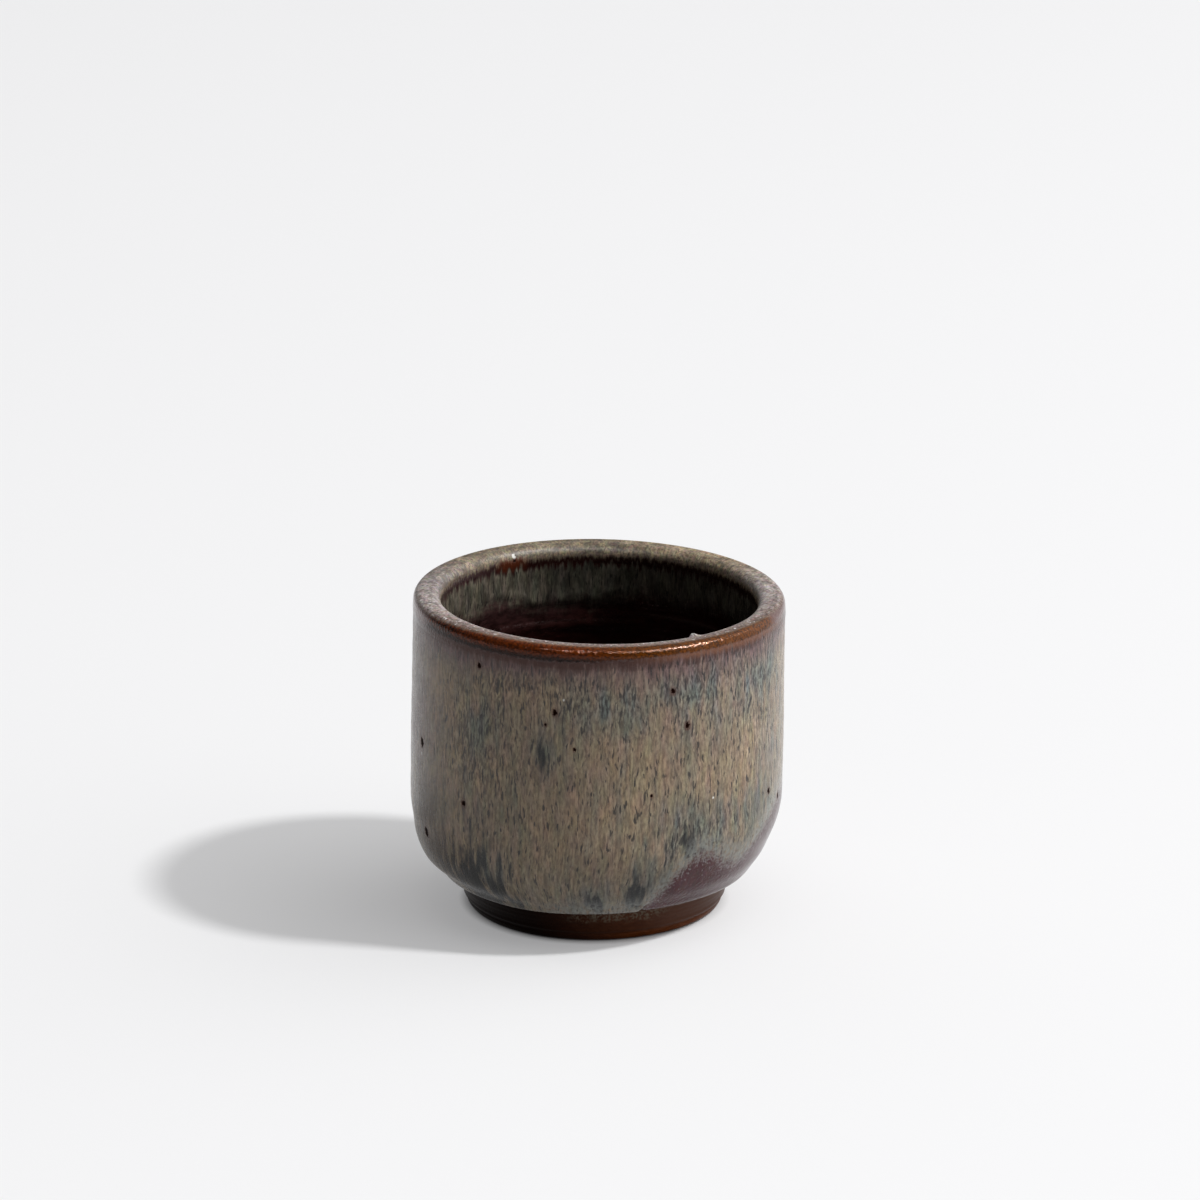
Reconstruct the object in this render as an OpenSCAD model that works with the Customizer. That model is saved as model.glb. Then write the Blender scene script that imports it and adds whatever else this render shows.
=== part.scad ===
// Small stoneware coffee cup without a handle.
// A thrown clay body stands on a luted foot ring. A dark iron glaze covers it inside and out,
// and a pale overglaze lies on top of that in three coats, parted where it runs thin at the rim.

/* [Cup] */
// Height from the table to the top of the glazed rim
cup_height = 66; // [58:0.5:80]
// Outside diameter of the glazed rim
rim_diameter = 75; // [68:0.5:90]
// Outside diameter of the glazed wall where the lower curve starts
belly_diameter = 75.6; // [68:0.1:90]
// Thickness of the glazed rim
rim_thickness = 5.4; // [4.8:0.1:7]
// Rounding of the outer edge of the rim, over the glaze
rim_outer_round = 1.6; // [1.2:0.1:2.2]
// Rounding of the inner edge of the rim, over the glaze
rim_inner_round = 2.3; // [1.2:0.1:2.6]
// Radius of the lower curve of the wall, over the glaze
curve_radius = 20; // [15:0.5:26]
// Angle that the lower curve turns through before it meets the foot
curve_turn = 55.5; // [45:0.5:70]
// Thickness of the clay floor
floor_thickness = 4.8; // [3:0.1:8]
// Radius of the corner between the inside wall and the floor
inside_corner = 12; // [6:0.5:15]

/* [Foot] */
// Diameter of the foot ring just above its rounded lower edge
foot_diameter = 52.8; // [46:0.2:58]
// Height of the foot ring
foot_height = 7.2; // [5:0.1:10]
// Width of the foot ring between its rounded edges and the recess
foot_width = 6.2; // [4.5:0.1:9]
// How far the recess inside the ring narrows towards its top, on the radius
recess_draft = 1.2; // [0.4:0.1:3]
// Rounding of the edges of the ring that meet the table
foot_round = 1.6; // [0.6:0.1:2.2]

/* [Base glaze] */
// Thickness of the iron base glaze
base_glaze = 0.35; // [0.2:0.05:0.5]
// Strip of the lower curve above the foot that both outside glazes leave free
glaze_gap = 2; // [1:0.1:5]
// Thickness of the iron wash on the foot
foot_wash = 0.2; // [0.1:0.05:0.3]
// Height of the lower edge of the wash above the table
wash_lift = 0.3; // [0.1:0.05:0.5]

/* [Overglaze] */
// Thickness of the pale overglaze
over_glaze = 0.45; // [0.2:0.05:0.6]
// Length of the wall under the outer rim edge that the overglaze leaves free
outer_break = 0.8; // [0.4:0.1:3]
// Angle of the outer rim edge at which the overglaze on the rim stops
cap_outer_angle = 65; // [40:1:80]
// Angle of the inner rim edge at which the overglaze on the rim stops
cap_inner_angle = 15; // [5:1:40]
// Length of the inside wall under the inner rim edge that the overglaze leaves free
inner_break = 0.7; // [0.3:0.1:3]
// Depth of the overglaze band inside, from the top of the rim to the middle of its lower edge
band_depth = 12; // [9:0.5:25]
// How far the lower edge of the inside band wanders up and down
band_ripple = 1.2; // [0.2:0.1:2]
// How high the highest bare patch of the outside overglaze reaches above the glaze line
run_rise = 17; // [8:0.5:24]

/* [Hidden] */
$fn = 96;
arc_step = 5;
run_step = 3;
ripple_step = 5;
cut_margin = 2;
coats = base_glaze + over_glaze;

// Centres and clay radii of the two rim edges
rim_out_c = [rim_diameter / 2 - rim_outer_round, cup_height - rim_outer_round];
rim_out_r = rim_outer_round - coats;
rim_in_c = [rim_diameter / 2 - rim_thickness + rim_inner_round, cup_height - rim_inner_round];
rim_in_r = rim_inner_round - coats;
rim_mid = (rim_out_c.x + rim_in_c.x) / 2;
clay_top = cup_height - coats;

// Lower curve of the wall, which ends on the foot ring
curve_r = curve_radius - coats;
curve_c = [belly_diameter / 2 - curve_radius, foot_height + curve_r * sin(curve_turn)];
glaze_angle = curve_turn - glaze_gap / curve_r * 180 / PI;
foot_top_r = curve_c.x + curve_r * cos(curve_turn);

// The wall is the straight line that touches the outer rim edge and the lower curve
rim_to_curve = rim_out_c - curve_c;
wall_angle = atan2(rim_to_curve.y, rim_to_curve.x) - acos((curve_r - rim_out_r) / norm(rim_to_curve));
wall_down = [sin(wall_angle), -cos(wall_angle)];

// The inside wall runs parallel to the outside one, and a round corner joins it to the floor
floor_z = foot_height + floor_thickness;
corner_z = floor_z + inside_corner;
inner_line = rim_in_c * [cos(wall_angle), sin(wall_angle)] - rim_in_r;
corner_c = [(inner_line - inside_corner - corner_z * sin(wall_angle)) / cos(wall_angle), corner_z];

// Foot ring
foot_r = foot_diameter / 2;
recess_r = foot_r - foot_width;
foot_edge_c = [foot_r - foot_round, foot_round];
recess_edge_c = [recess_r + foot_round, foot_round];
wash_wrap = asin((foot_round - wash_lift) / (foot_round + foot_wash));

// Inside overglaze band
band_edge = cup_height - band_depth;
band_low = band_edge - band_ripple - cut_margin;
band_far = max(rim_diameter, belly_diameter) / 2;
ripple_long = 3;
ripple_short = 7;
ripple_turn = 40;
ripple_share = 0.5;

// Lower edge of the outside overglaze: angle about the cup, and share of the highest rise
run_points = [[-77, -0.1], [-55, 0.78], [-39, 0.54], [-5, 1], [55, 0.9], [95, 0.5], [115, 0.62], [150, -0.1]];
run_first = run_points[0].x;
run_last = run_points[len(run_points) - 1].x;
glaze_line_z = curve_c.y - (curve_r + coats) * sin(glaze_angle);

function polar(c, r, a) = c + r * [cos(a), sin(a)];

function arc(c, r, from, to) =
    let (n = ceil(abs(to - from) / arc_step))
    [for (i = [0:n]) polar(c, r, from + (to - from) * i / n)];

function reverse(points) = [for (i = [len(points) - 1:-1:0]) points[i]];

// Surfaces of the cup at an offset from the clay, from the rim downwards
function wall_point(offset, drop) = polar(rim_out_c, rim_out_r + offset, wall_angle) + drop * wall_down;

function lower_curve(offset, last) = arc(curve_c, curve_r + offset, wall_angle, -last);

function outside(offset, last) =
    concat(arc(rim_out_c, rim_out_r + offset, 90, wall_angle), lower_curve(offset, last));

function inner_wall_point(offset, drop) =
    polar(rim_in_c, rim_in_r + offset, 180 + wall_angle) + drop * wall_down;

function inside(offset) =
    concat(
        arc(rim_in_c, rim_in_r + offset, 90, 180 + wall_angle),
        arc(corner_c, inside_corner - offset, wall_angle, -90),
        [[0, floor_z + offset]]
    );

function skirt(offset) = concat([wall_point(offset, outer_break)], lower_curve(offset, glaze_angle));

function cap(offset) =
    concat(
        arc(rim_in_c, rim_in_r + offset, 180 - cap_inner_angle, 90),
        arc(rim_out_c, rim_out_r + offset, 90, cap_outer_angle)
    );

// Wandering edges of the overglaze
function ease(a, b, t) = a + (b - a) * (1 - cos(180 * t)) / 2;

function run_share(angle, i = 0) =
    angle <= run_points[i + 1].x || i == len(run_points) - 2
        ? ease(run_points[i].y, run_points[i + 1].y,
            (angle - run_points[i].x) / (run_points[i + 1].x - run_points[i].x))
        : run_share(angle, i + 1);

function ripple(angle) =
    (sin(ripple_long * angle + ripple_turn) + ripple_share * sin(ripple_short * angle)) / (1 + ripple_share);

// Solid curtain between two radii whose top follows a list of [angle, height]
module curtain(tops, low, near, far, closed) {
    n = len(tops);
    rings = [
        for (t = tops)
            let (d = [cos(t.x), sin(t.x)])
            each [
                [near * d.x, near * d.y, low],
                [far * d.x, far * d.y, low],
                [far * d.x, far * d.y, t.y],
                [near * d.x, near * d.y, t.y]
            ]
    ];
    sides = [
        for (i = [0:closed ? n - 1 : n - 2])
            for (k = [0:3])
                let (a = 4 * i, b = 4 * ((i + 1) % n), m = (k + 1) % 4)
                each [[a + k, a + m, b + m], [a + k, b + m, b + k]]
    ];
    last = 4 * (n - 1);
    ends = [[0, 2, 1], [0, 3, 2], [last, last + 1, last + 2], [last, last + 2, last + 3]];
    polyhedron(rings, closed ? sides : concat(sides, ends));
}

module thrown_body() {
    color("#6b5a4c")
        rotate_extrude()
            polygon(concat([[0, foot_height]], reverse(outside(0, curve_turn)), inside(0)));
}

module foot_ring() {
    color("#6b5a4c")
        rotate_extrude()
            polygon(concat(
                arc(recess_edge_c, foot_round, 180, 270),
                arc(foot_edge_c, foot_round, 270, 360),
                [[foot_top_r, foot_height], [recess_r - recess_draft, foot_height]]
            ));
}

module foot_wash_coat() {
    color("#3a2418")
        rotate_extrude()
            polygon(concat(
                arc(foot_edge_c, foot_round, -wash_wrap, 0),
                arc(curve_c, curve_r, -curve_turn, -glaze_angle),
                arc(curve_c, curve_r + foot_wash, -glaze_angle, -curve_turn),
                arc(foot_edge_c, foot_round + foot_wash, 0, -wash_wrap)
            ));
}

module outer_base_glaze() {
    color("#5a3a34")
        rotate_extrude()
            polygon(concat(
                [[rim_mid, clay_top]],
                outside(0, glaze_angle),
                reverse(outside(base_glaze, glaze_angle)),
                [[rim_mid, clay_top + base_glaze]]
            ));
}

module liner_glaze() {
    color("#45302c")
        rotate_extrude()
            polygon(concat(
                [[rim_mid, clay_top]],
                inside(0),
                reverse(inside(base_glaze)),
                [[rim_mid, clay_top + base_glaze]]
            ));
}

module outer_overglaze() {
    tops = [
        for (a = [run_first:run_step:run_last])
            [a, glaze_line_z + run_rise * run_share(a)]
    ];
    color("#857a6b")
        difference() {
            rotate_extrude()
                polygon(concat(skirt(base_glaze), reverse(skirt(coats))));
            curtain(tops, glaze_line_z - run_rise, curve_c.x, belly_diameter / 2 + cut_margin, false);
        }
}

module rim_overglaze() {
    color("#958a7d")
        rotate_extrude()
            polygon(concat(cap(base_glaze), reverse(cap(coats))));
}

module inner_overglaze() {
    band_length = rim_in_c.y - band_low;
    tops = [
        for (a = [0:ripple_step:360 - ripple_step])
            [a, band_edge + band_ripple * ripple(a)]
    ];
    color("#6d6c62")
        difference() {
            rotate_extrude()
                polygon([
                    inner_wall_point(base_glaze, inner_break),
                    inner_wall_point(base_glaze, band_length),
                    inner_wall_point(coats, band_length),
                    inner_wall_point(coats, inner_break)
                ]);
            curtain(tops, band_low - cut_margin, band_far / 2, band_far, true);
        }
}

thrown_body();
foot_ring();
foot_wash_coat();
outer_base_glaze();
liner_glaze();
outer_overglaze();
rim_overglaze();
inner_overglaze();
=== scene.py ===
"""Looks of a small hand-thrown stoneware coffee cup: clay, iron glaze and a pale overglaze that runs."""

import math

import bpy
import numpy as np
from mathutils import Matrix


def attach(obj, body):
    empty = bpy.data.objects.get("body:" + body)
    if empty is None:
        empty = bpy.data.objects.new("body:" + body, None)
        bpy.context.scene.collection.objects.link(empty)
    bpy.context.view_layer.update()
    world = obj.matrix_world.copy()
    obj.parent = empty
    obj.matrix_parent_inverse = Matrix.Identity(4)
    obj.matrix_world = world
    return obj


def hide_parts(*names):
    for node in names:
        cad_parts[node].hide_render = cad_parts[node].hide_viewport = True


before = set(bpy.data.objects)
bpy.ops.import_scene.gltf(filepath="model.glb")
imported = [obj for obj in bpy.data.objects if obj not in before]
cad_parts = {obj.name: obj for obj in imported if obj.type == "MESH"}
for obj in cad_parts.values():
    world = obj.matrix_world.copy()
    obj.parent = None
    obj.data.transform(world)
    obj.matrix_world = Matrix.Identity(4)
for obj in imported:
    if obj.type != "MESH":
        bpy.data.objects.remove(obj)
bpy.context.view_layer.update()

# Sizes of the cup in millimetres, as in the part's source
MM = 0.001
PER_METRE = 1 / MM
CUP_HEIGHT = 66.0
RIM_RADIUS = 37.5
BELLY_RADIUS = 37.8
RIM_WIDTH = 5.4
RIM_OUTER_ROUND = 1.6
RIM_INNER_ROUND = 2.3
CURVE_RADIUS = 20.0
CURVE_TURN = 55.5
FLOOR_THICKNESS = 4.8
INSIDE_CORNER = 12.0
FOOT_RADIUS = 26.4
FOOT_HEIGHT = 7.2
FOOT_WIDTH = 6.2
FOOT_ROUND = 1.6
RECESS_DRAFT = 1.2
BASE_GLAZE = 0.35
OVER_GLAZE = 0.45
FOOT_WASH = 0.2
COATS = BASE_GLAZE + OVER_GLAZE

# The foot stands a little to the left of the thrown wall and is tucked in there, and the rim has sunk and
# dips to the right
LEAN_STEP = 0.75
LEAN_SLOPE = 0.0145
FOOT_OFFSET = 0.8
RIM_DIP = 0.0171
RIM_SINK = 0.28
FOOT_TUCK = 0.6

# Swells and dents of the thrown wall: how far they stand out, their height, their reach and their side
WALL_FULLNESS = 0.25
WALL_SWELLS = [
    (0.1, 38, 9, "all"), (0.22, 11, 3, "all"), (-0.26, 18.6, 4, "off_right"), (0.25, 22, 5, "right"),
    (-0.45, 9.4, 1.8, "left"), (-0.38, 19.5, 4, "left"),
]
THROWING_RINGS = 0.26
FINE_RINGS = 0.08
FOOT_GROOVES = 0.018
FOOT_RIDGE = 0.16

# The neck between the lower curve and the foot: degrees of the curve, and the step down to the foot's side
NECK_START = 44.0
NECK_SHORT = 2.5
NECK_INSET = 0.15
NECK_DROP = 0.5

# How the coats stand off the clay where they are not plain
FEATHER = 0.02
LIP_BEAD = 0.3
RIM_SHOULDER = 0.47
SHOULDER_RISE = 0.08
BARE_FULLNESS = 0.33
RUN_ROLL = 0.4
EDGE_THINNING = 0.1
NUB_HEIGHT = 1.0
NUB_TURN = 35.0
LINER_SHOULDER = 0.37

# Fineness of the meshes, and how far a coat sinks into what is under it
WHEEL_STEPS = 450
CROWD = 0.75
SINK = 0.06
MATCH = 0.004


def smooth(low, high, value):
    """0 at low and 1 at high, eased between them; low may be above high."""
    share = np.clip((np.asarray(value, float) - low) / (high - low), 0, 1)
    return share * share * (3 - 2 * share)


def hump(value, centre, reach):
    """A soft hump of height 1."""
    return np.exp(-(((np.asarray(value, float) - centre) / reach) ** 2))


def rolled(distance, width):
    """Share of its full height that a rolled edge has at a distance from its end."""
    return np.sqrt(np.clip(1 - (1 - np.clip(distance / width, 0, 1)) ** 2, 0, 1))


# Section of the clay

RIM_OUT = np.array([RIM_RADIUS - RIM_OUTER_ROUND, CUP_HEIGHT - RIM_OUTER_ROUND])
RIM_IN = np.array([RIM_RADIUS - RIM_WIDTH + RIM_INNER_ROUND, CUP_HEIGHT - RIM_INNER_ROUND])
CURVE_CLAY = CURVE_RADIUS - COATS
CURVE_MID = np.array(
    [BELLY_RADIUS - CURVE_RADIUS, FOOT_HEIGHT + CURVE_CLAY * math.sin(math.radians(CURVE_TURN))]
)
FOOT_TOP = CURVE_MID[0] + CURVE_CLAY * math.cos(math.radians(CURVE_TURN))
TO_RIM = RIM_OUT - CURVE_MID
WALL_TILT = math.atan2(TO_RIM[1], TO_RIM[0]) - math.acos(
    (CURVE_RADIUS - RIM_OUTER_ROUND) / np.hypot(*TO_RIM)
)
WALL_ANGLE = math.degrees(WALL_TILT)
FLOOR_TOP = FOOT_HEIGHT + FLOOR_THICKNESS
CORNER_TOP = FLOOR_TOP + INSIDE_CORNER
WALL_NORMAL = np.array([math.cos(WALL_TILT), math.sin(WALL_TILT)])
INNER_LINE = RIM_IN @ WALL_NORMAL - (RIM_INNER_ROUND - COATS)
CORNER_MID = np.array(
    [(INNER_LINE - INSIDE_CORNER - CORNER_TOP * WALL_NORMAL[1]) / WALL_NORMAL[0], CORNER_TOP]
)
RECESS_RADIUS = FOOT_RADIUS - FOOT_WIDTH


def round_edge(middle, radius, first, last, count=90, hollow=False):
    """Rows of clay point and outward normal along an arc."""
    angle = np.radians(np.linspace(first, last, count))
    out = np.stack([np.cos(angle), np.sin(angle)], 1)
    return np.hstack([middle + radius * out, -out if hollow else out])


def straight(first, last, count=60):
    """Rows of clay point and outward normal along a line, with the outside on its left."""
    first, last = np.array(first, float), np.array(last, float)
    along = (last - first) / np.hypot(*(last - first))
    points = first + np.linspace(0, 1, count)[:, None] * (last - first)
    return np.hstack([points, np.tile([-along[1], along[0]], (count, 1))])


class Way:
    """A way along the clay. Its flow is measured on top of its coat, from the row named zero."""

    def __init__(self, rows, uneven, zero=0, coat=COATS):
        glazed = rows[:, :2] + coat * rows[:, 2:]
        steps = np.hypot(*np.diff(glazed, axis=0).T)
        flow = np.concatenate([[0.0], np.cumsum(steps)])
        self.flow = flow - flow[zero]
        self.rows = rows
        self.height = glazed[:, 1]
        self.lowest = np.argmin(self.height[self.flow >= 0]) + np.sum(self.flow < 0)
        self.uneven = uneven

    def at(self, flow, lift):
        """Radius and height at a flow and a lift off the clay."""
        r, z, out, up = (np.interp(flow, self.flow, column) for column in self.rows.T)
        return r + lift * out, z + lift * up

    def flow_at(self, height, inside=False):
        """The flow at which the coat has that height, on the outside unless said."""
        outside = (self.flow >= 0) & (np.arange(len(self.flow)) <= self.lowest)
        side = self.flow <= 0 if inside else outside
        order = np.argsort(self.height[side], kind="stable")
        return np.interp(height, self.height[side][order], self.flow[side][order])


def skin_unevenness(turn, flow, height):
    """How far the thrown wall stands off its true section: fullness outside, throwing rings inside."""
    right = smooth(-0.3, 0.7, np.sin(turn))
    left = smooth(0.35, 0.9, -np.sin(turn))
    sides = {"all": 1.0, "right": right, "off_right": 1 - right, "left": left}
    swells = sum(out * sides[side] * hump(height, at, reach) for out, at, reach, side in WALL_SWELLS)
    ripple = 0.05 * np.sin(2 * turn + flow * 0.05) + 0.015 * np.sin(flow * 1.15 + turn)
    outside = (WALL_FULLNESS + swells + ripple) * smooth(0.5, 6, flow) * smooth(6.8, 8.6, height)
    spiral = THROWING_RINGS * np.sin(flow * 1.05 + turn) + FINE_RINGS * np.sin(2.3 * flow - turn)
    return np.where(flow > 0, outside, spiral * smooth(-9, -20, flow))


def foot_unevenness(turn, flow, height):
    """Turning grooves on the foot, and the ridge left above its rounded edge."""
    grooves = FOOT_GROOVES * np.sin(flow * 5.2 + 0.4 * np.sin(turn)) * smooth(0.2, 1.5, height)
    return grooves + FOOT_RIDGE * hump(height, 2.3, 0.45)


def true_section(turn, flow, height):
    """No unevenness: the flat under the floor, where the foot ring joins it."""
    return np.zeros(np.broadcast(turn, flow).shape)


INSIDE_ROWS = np.vstack([
    straight((0, FLOOR_TOP), (CORNER_MID[0], FLOOR_TOP)),
    round_edge(CORNER_MID, INSIDE_CORNER, -90, WALL_ANGLE, hollow=True),
    round_edge(RIM_IN, RIM_INNER_ROUND - COATS, 180 + WALL_ANGLE, 90),
])
RIM_ROWS = straight(RIM_IN + [0, RIM_INNER_ROUND - COATS], RIM_OUT + [0, RIM_OUTER_ROUND - COATS], 21)
OUTSIDE_ROWS = np.vstack([
    round_edge(RIM_OUT, RIM_OUTER_ROUND - COATS, 90, WALL_ANGLE),
    round_edge(CURVE_MID, CURVE_CLAY, WALL_ANGLE, -CURVE_TURN, count=160),
])
SKIN = Way(
    np.vstack([INSIDE_ROWS, RIM_ROWS, OUTSIDE_ROWS]),
    skin_unevenness,
    zero=len(INSIDE_ROWS) + len(RIM_ROWS) // 2,
)
BASE = Way(straight((FOOT_TOP, FOOT_HEIGHT), (0, FOOT_HEIGHT)), true_section)
FOOT = Way(
    np.vstack([
        round_edge(CURVE_MID, CURVE_CLAY, -NECK_START, -CURVE_TURN + NECK_SHORT),
        straight((FOOT_TOP - NECK_INSET, FOOT_HEIGHT - NECK_DROP), (FOOT_RADIUS, FOOT_ROUND)),
        round_edge(np.array([FOOT_RADIUS - FOOT_ROUND, FOOT_ROUND]), FOOT_ROUND, 0, -90),
        round_edge(np.array([RECESS_RADIUS + FOOT_ROUND, FOOT_ROUND]), FOOT_ROUND, 270, 180),
        straight((RECESS_RADIUS, FOOT_ROUND), (RECESS_RADIUS - RECESS_DRAFT, FOOT_HEIGHT)),
    ]),
    foot_unevenness,
    coat=FOOT_WASH,
)

# Turns about the cup, from its front towards its right

SPOKES = np.arange(WHEEL_STEPS) * 2 * math.pi / WHEEL_STEPS
TURN = (SPOKES + math.pi / 2 + math.pi) % (2 * math.pi) - math.pi

# The wandering edges of the coats. The overglaze's lower edge is given by its turn and height

RUN_LINE = [
    (-180, 16.4), (-160, 18.6), (-140, 14), (-120, 6.5), (-60, 6.3), (10, 6.3), (15, 7.1), (19, 9.9),
    (23, 13.6), (27, 16.9), (31, 19.2), (35, 20.2), (39, 19.7), (45, 17.5), (51, 16.3), (57, 17.6),
    (62, 19.7), (68, 22.6), (76, 25.4), (90, 27.0), (115, 25.4), (145, 23.2), (165, 18.5), (180, 16.4),
]


def wander(turn, waves):
    """A sum of waves round the cup, each with its count, height and phase."""
    return sum(height * np.sin(count * turn + phase) for count, height, phase in waves)


LIP_HEIGHT = 7.75 + wander(TURN, [(1, 0.38, 0), (3, 0.07, 1), (7, 0.04, 2)])
LIP = SKIN.flow_at(LIP_HEIGHT)
LIP_LINE = float(LIP.mean())
RUN_HEIGHT = np.interp(np.degrees(TURN), *np.array(RUN_LINE).T)
RUN_HEIGHT = RUN_HEIGHT + wander(TURN, [(11, 0.25, 0.5), (23, 0.14, 2), (37, 0.1, 1)])
RUN_EDGE = np.minimum(SKIN.flow_at(RUN_HEIGHT), LIP)
AT_LIP = smooth(3, 0.4, LIP - RUN_EDGE)
IRON_EDGE = LIP - 0.3 * AT_LIP
WALL_EDGE = 4.6 + wander(TURN, [(5, 0.15, 1), (13, 0.12, 0), (29, 0.1, 2)])
CAP_OUTER_EDGE = 1.5 + wander(TURN, [(4, 0.1, 0), (17, 0.08, 1), (41, 0.05, 2)])
CAP_INNER_EDGE = -4.6 + wander(TURN, [(3, 0.12, 1), (19, 0.1, 0), (43, 0.06, 2)])
BAND_TOP = -5.4 + wander(TURN, [(6, 0.2, 0), (15, 0.12, 1)])
BAND_HEIGHT = 54 + wander(TURN, [(3, 0.9, 0.7), (7, 0.6, 0), (13, 0.5, 2), (31, 0.3, 1)])
BAND_EDGE = SKIN.flow_at(BAND_HEIGHT, inside=True)
WASH_TOP = 0.4
WASH_EDGE = FOOT.flow_at(0.15)
FLOOR_CENTRE = SKIN.flow[0]
FOOT_JOINT = SKIN.flow[-1]
BASE_START = 0.3
RING_START = FOOT.flow_at(FOOT_HEIGHT - 0.6)
RING_END = FOOT.flow[-1]


class Face:
    """One side of a piece: a stretch of a way between two edges, lifted off the clay."""

    def __init__(self, way, first, last, lift, rows, backwards=False, crowd=CROWD):
        count = np.linspace(0, 1, rows)
        share = (1 - crowd) * count + crowd * (1 - np.cos(math.pi * count)) / 2
        share = share[::-1] if backwards else share
        first, last = np.broadcast_to(first, TURN.shape), np.broadcast_to(last, TURN.shape)
        self.flow = first + share[:, None] * (last - first)
        self.way = way
        self.lift = lift(self.flow - first, last - self.flow) if callable(lift) else lift

    def section(self):
        """Radius and height of every row at every turn."""
        height = self.way.at(self.flow, COATS)[1]
        return self.way.at(self.flow, self.lift + self.way.uneven(TURN, self.flow, height))


def coat(way, first, last, lift, rows, under_rows, under=-SINK, crowd=CROWD):
    """Both sides of a coat between two edges: its top, and its underside turned back."""
    top = Face(way, first, last, lift, rows, crowd=crowd)
    return [top, Face(way, first, last, under, under_rows, backwards=True, crowd=crowd)]


def by_hand(x, y, z):
    """The tuck of the foot, the lean of the thrown wall and the dip of its rim."""
    x = x + FOOT_TUCK * smooth(-8, -26, x) * smooth(12, 7, z)
    x = x + LEAN_STEP * smooth(14, 28, z) + LEAN_SLOPE * np.maximum(z - 24, 0) - FOOT_OFFSET
    return x, y, z - RIM_DIP * x * smooth(20, 60, z) - RIM_SINK * smooth(45, 66, z)


def draw_section(name, section):
    """Draws a section beside the cup's axis, point by point."""
    bpy.ops.object.select_all(action="DESELECT")
    bpy.ops.mesh.primitive_plane_add(size=MM)
    piece = bpy.context.object
    piece.name = piece.data.name = name
    bpy.ops.object.mode_set(mode="EDIT")
    bpy.ops.mesh.merge(type="CENTER")
    bpy.ops.transform.translate(value=(section[0][0] * MM, 0, section[0][1] * MM))
    for step in np.diff(section, axis=0) * MM:
        bpy.ops.mesh.extrude_region_move(TRANSFORM_OT_translate={"value": (step[0], 0, step[1])})
    bpy.ops.object.mode_set(mode="OBJECT")
    return piece


def turn_on_wheel(piece):
    """Turns a drawn section once round the axis and closes it."""
    wheel = piece.modifiers.new("wheel", "SCREW")
    wheel.axis = "Z"
    wheel.angle = 2 * math.pi
    wheel.steps = wheel.render_steps = WHEEL_STEPS
    wheel.use_merge_vertices = True
    wheel.merge_threshold = MATCH * MM
    bpy.ops.object.modifier_apply(modifier=wheel.name)
    close_mesh()


def close_mesh():
    """Merges the doubled points of the piece at work and turns its faces outwards."""
    bpy.ops.object.mode_set(mode="EDIT")
    bpy.ops.mesh.select_all(action="SELECT")
    bpy.ops.mesh.remove_doubles(threshold=MATCH * MM)
    bpy.ops.mesh.normals_make_consistent(inside=False)
    bpy.ops.object.mode_set(mode="OBJECT")


def find_points(piece, mean):
    """Row of the section and spoke of the wheel of every point of a turned piece."""
    points = np.empty(len(piece.data.vertices) * 3)
    piece.data.vertices.foreach_get("co", points)
    x, y, z = points.reshape(-1, 3).T / MM
    reach = np.hypot(x, y)
    row = np.full(len(x), -1)
    for k, (r, h) in enumerate(mean):
        row[(abs(reach - r) < MATCH) & (abs(z - h) < MATCH)] = k
    if row.min() < 0:
        raise ValueError(f"{piece.name}: {np.sum(row < 0)} points of the turned section were not found")
    spoke = np.round(np.arctan2(y, x) / (2 * math.pi / WHEEL_STEPS)).astype(int) % WHEEL_STEPS
    return row, spoke


def write_places(piece, along, spoke):
    """Writes on every point its place on the rolled-out skin and its gap to the overglaze's lower edge."""
    edge = np.where(along > 0, RUN_EDGE[spoke] - along, along - BAND_EDGE[spoke])
    laid = np.stack([RIM_RADIUS * np.sin(TURN[spoke]), -RIM_RADIUS * np.cos(TURN[spoke]), along], 1)
    piece.data.attributes.new("glaze_place", "FLOAT_VECTOR", "POINT").data.foreach_set("vector", laid.ravel())
    piece.data.attributes.new("edge_gap", "FLOAT", "POINT").data.foreach_set("value", edge)


def throw(name, faces, node, closed=True):
    """Throws a piece: its mean section is drawn and turned, then each point is pushed to its own place."""
    sections = [face.section() for face in faces]
    radius, height = (np.vstack([section[k] for section in sections]) for k in (0, 1))
    flow = np.vstack([face.flow for face in faces])
    mean = np.stack([radius.mean(1), height.mean(1)], 1)
    piece = draw_section(name, np.vstack([mean, mean[:1]]) if closed else mean)
    turn_on_wheel(piece)
    row, spoke = find_points(piece, mean)
    r, angle = radius[row, spoke], SPOKES[spoke]
    place = by_hand(r * np.cos(angle), r * np.sin(angle), height[row, spoke])
    piece.data.vertices.foreach_set("co", (np.stack(place, 1) * MM).ravel())
    write_places(piece, flow[row, spoke], spoke)
    close_mesh()
    bpy.ops.object.shade_smooth()
    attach(piece, "root")
    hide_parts(node)
    return piece


# Lifts of the coats off the clay, from the distances to their two edges


def iron_outside(from_crown, to_lip):
    """A shoulder under the rim, a bead at the lip, and more where the overglaze leaves it bare."""
    bead = (1 - AT_LIP) * LIP_BEAD * hump(to_lip, 1.2, 1.4)
    shoulder = RIM_SHOULDER * smooth(-1, 0.3, from_crown) + SHOULDER_RISE * smooth(0, 2, from_crown)
    shoulder = shoulder * smooth(10, 4.5, from_crown)
    bare = (1 - AT_LIP) * BARE_FULLNESS * smooth(-3.5, 0.5, from_crown - RUN_EDGE)
    return FEATHER + (BASE_GLAZE + bead + shoulder + bare - FEATHER) * rolled(to_lip, 0.9)


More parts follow.
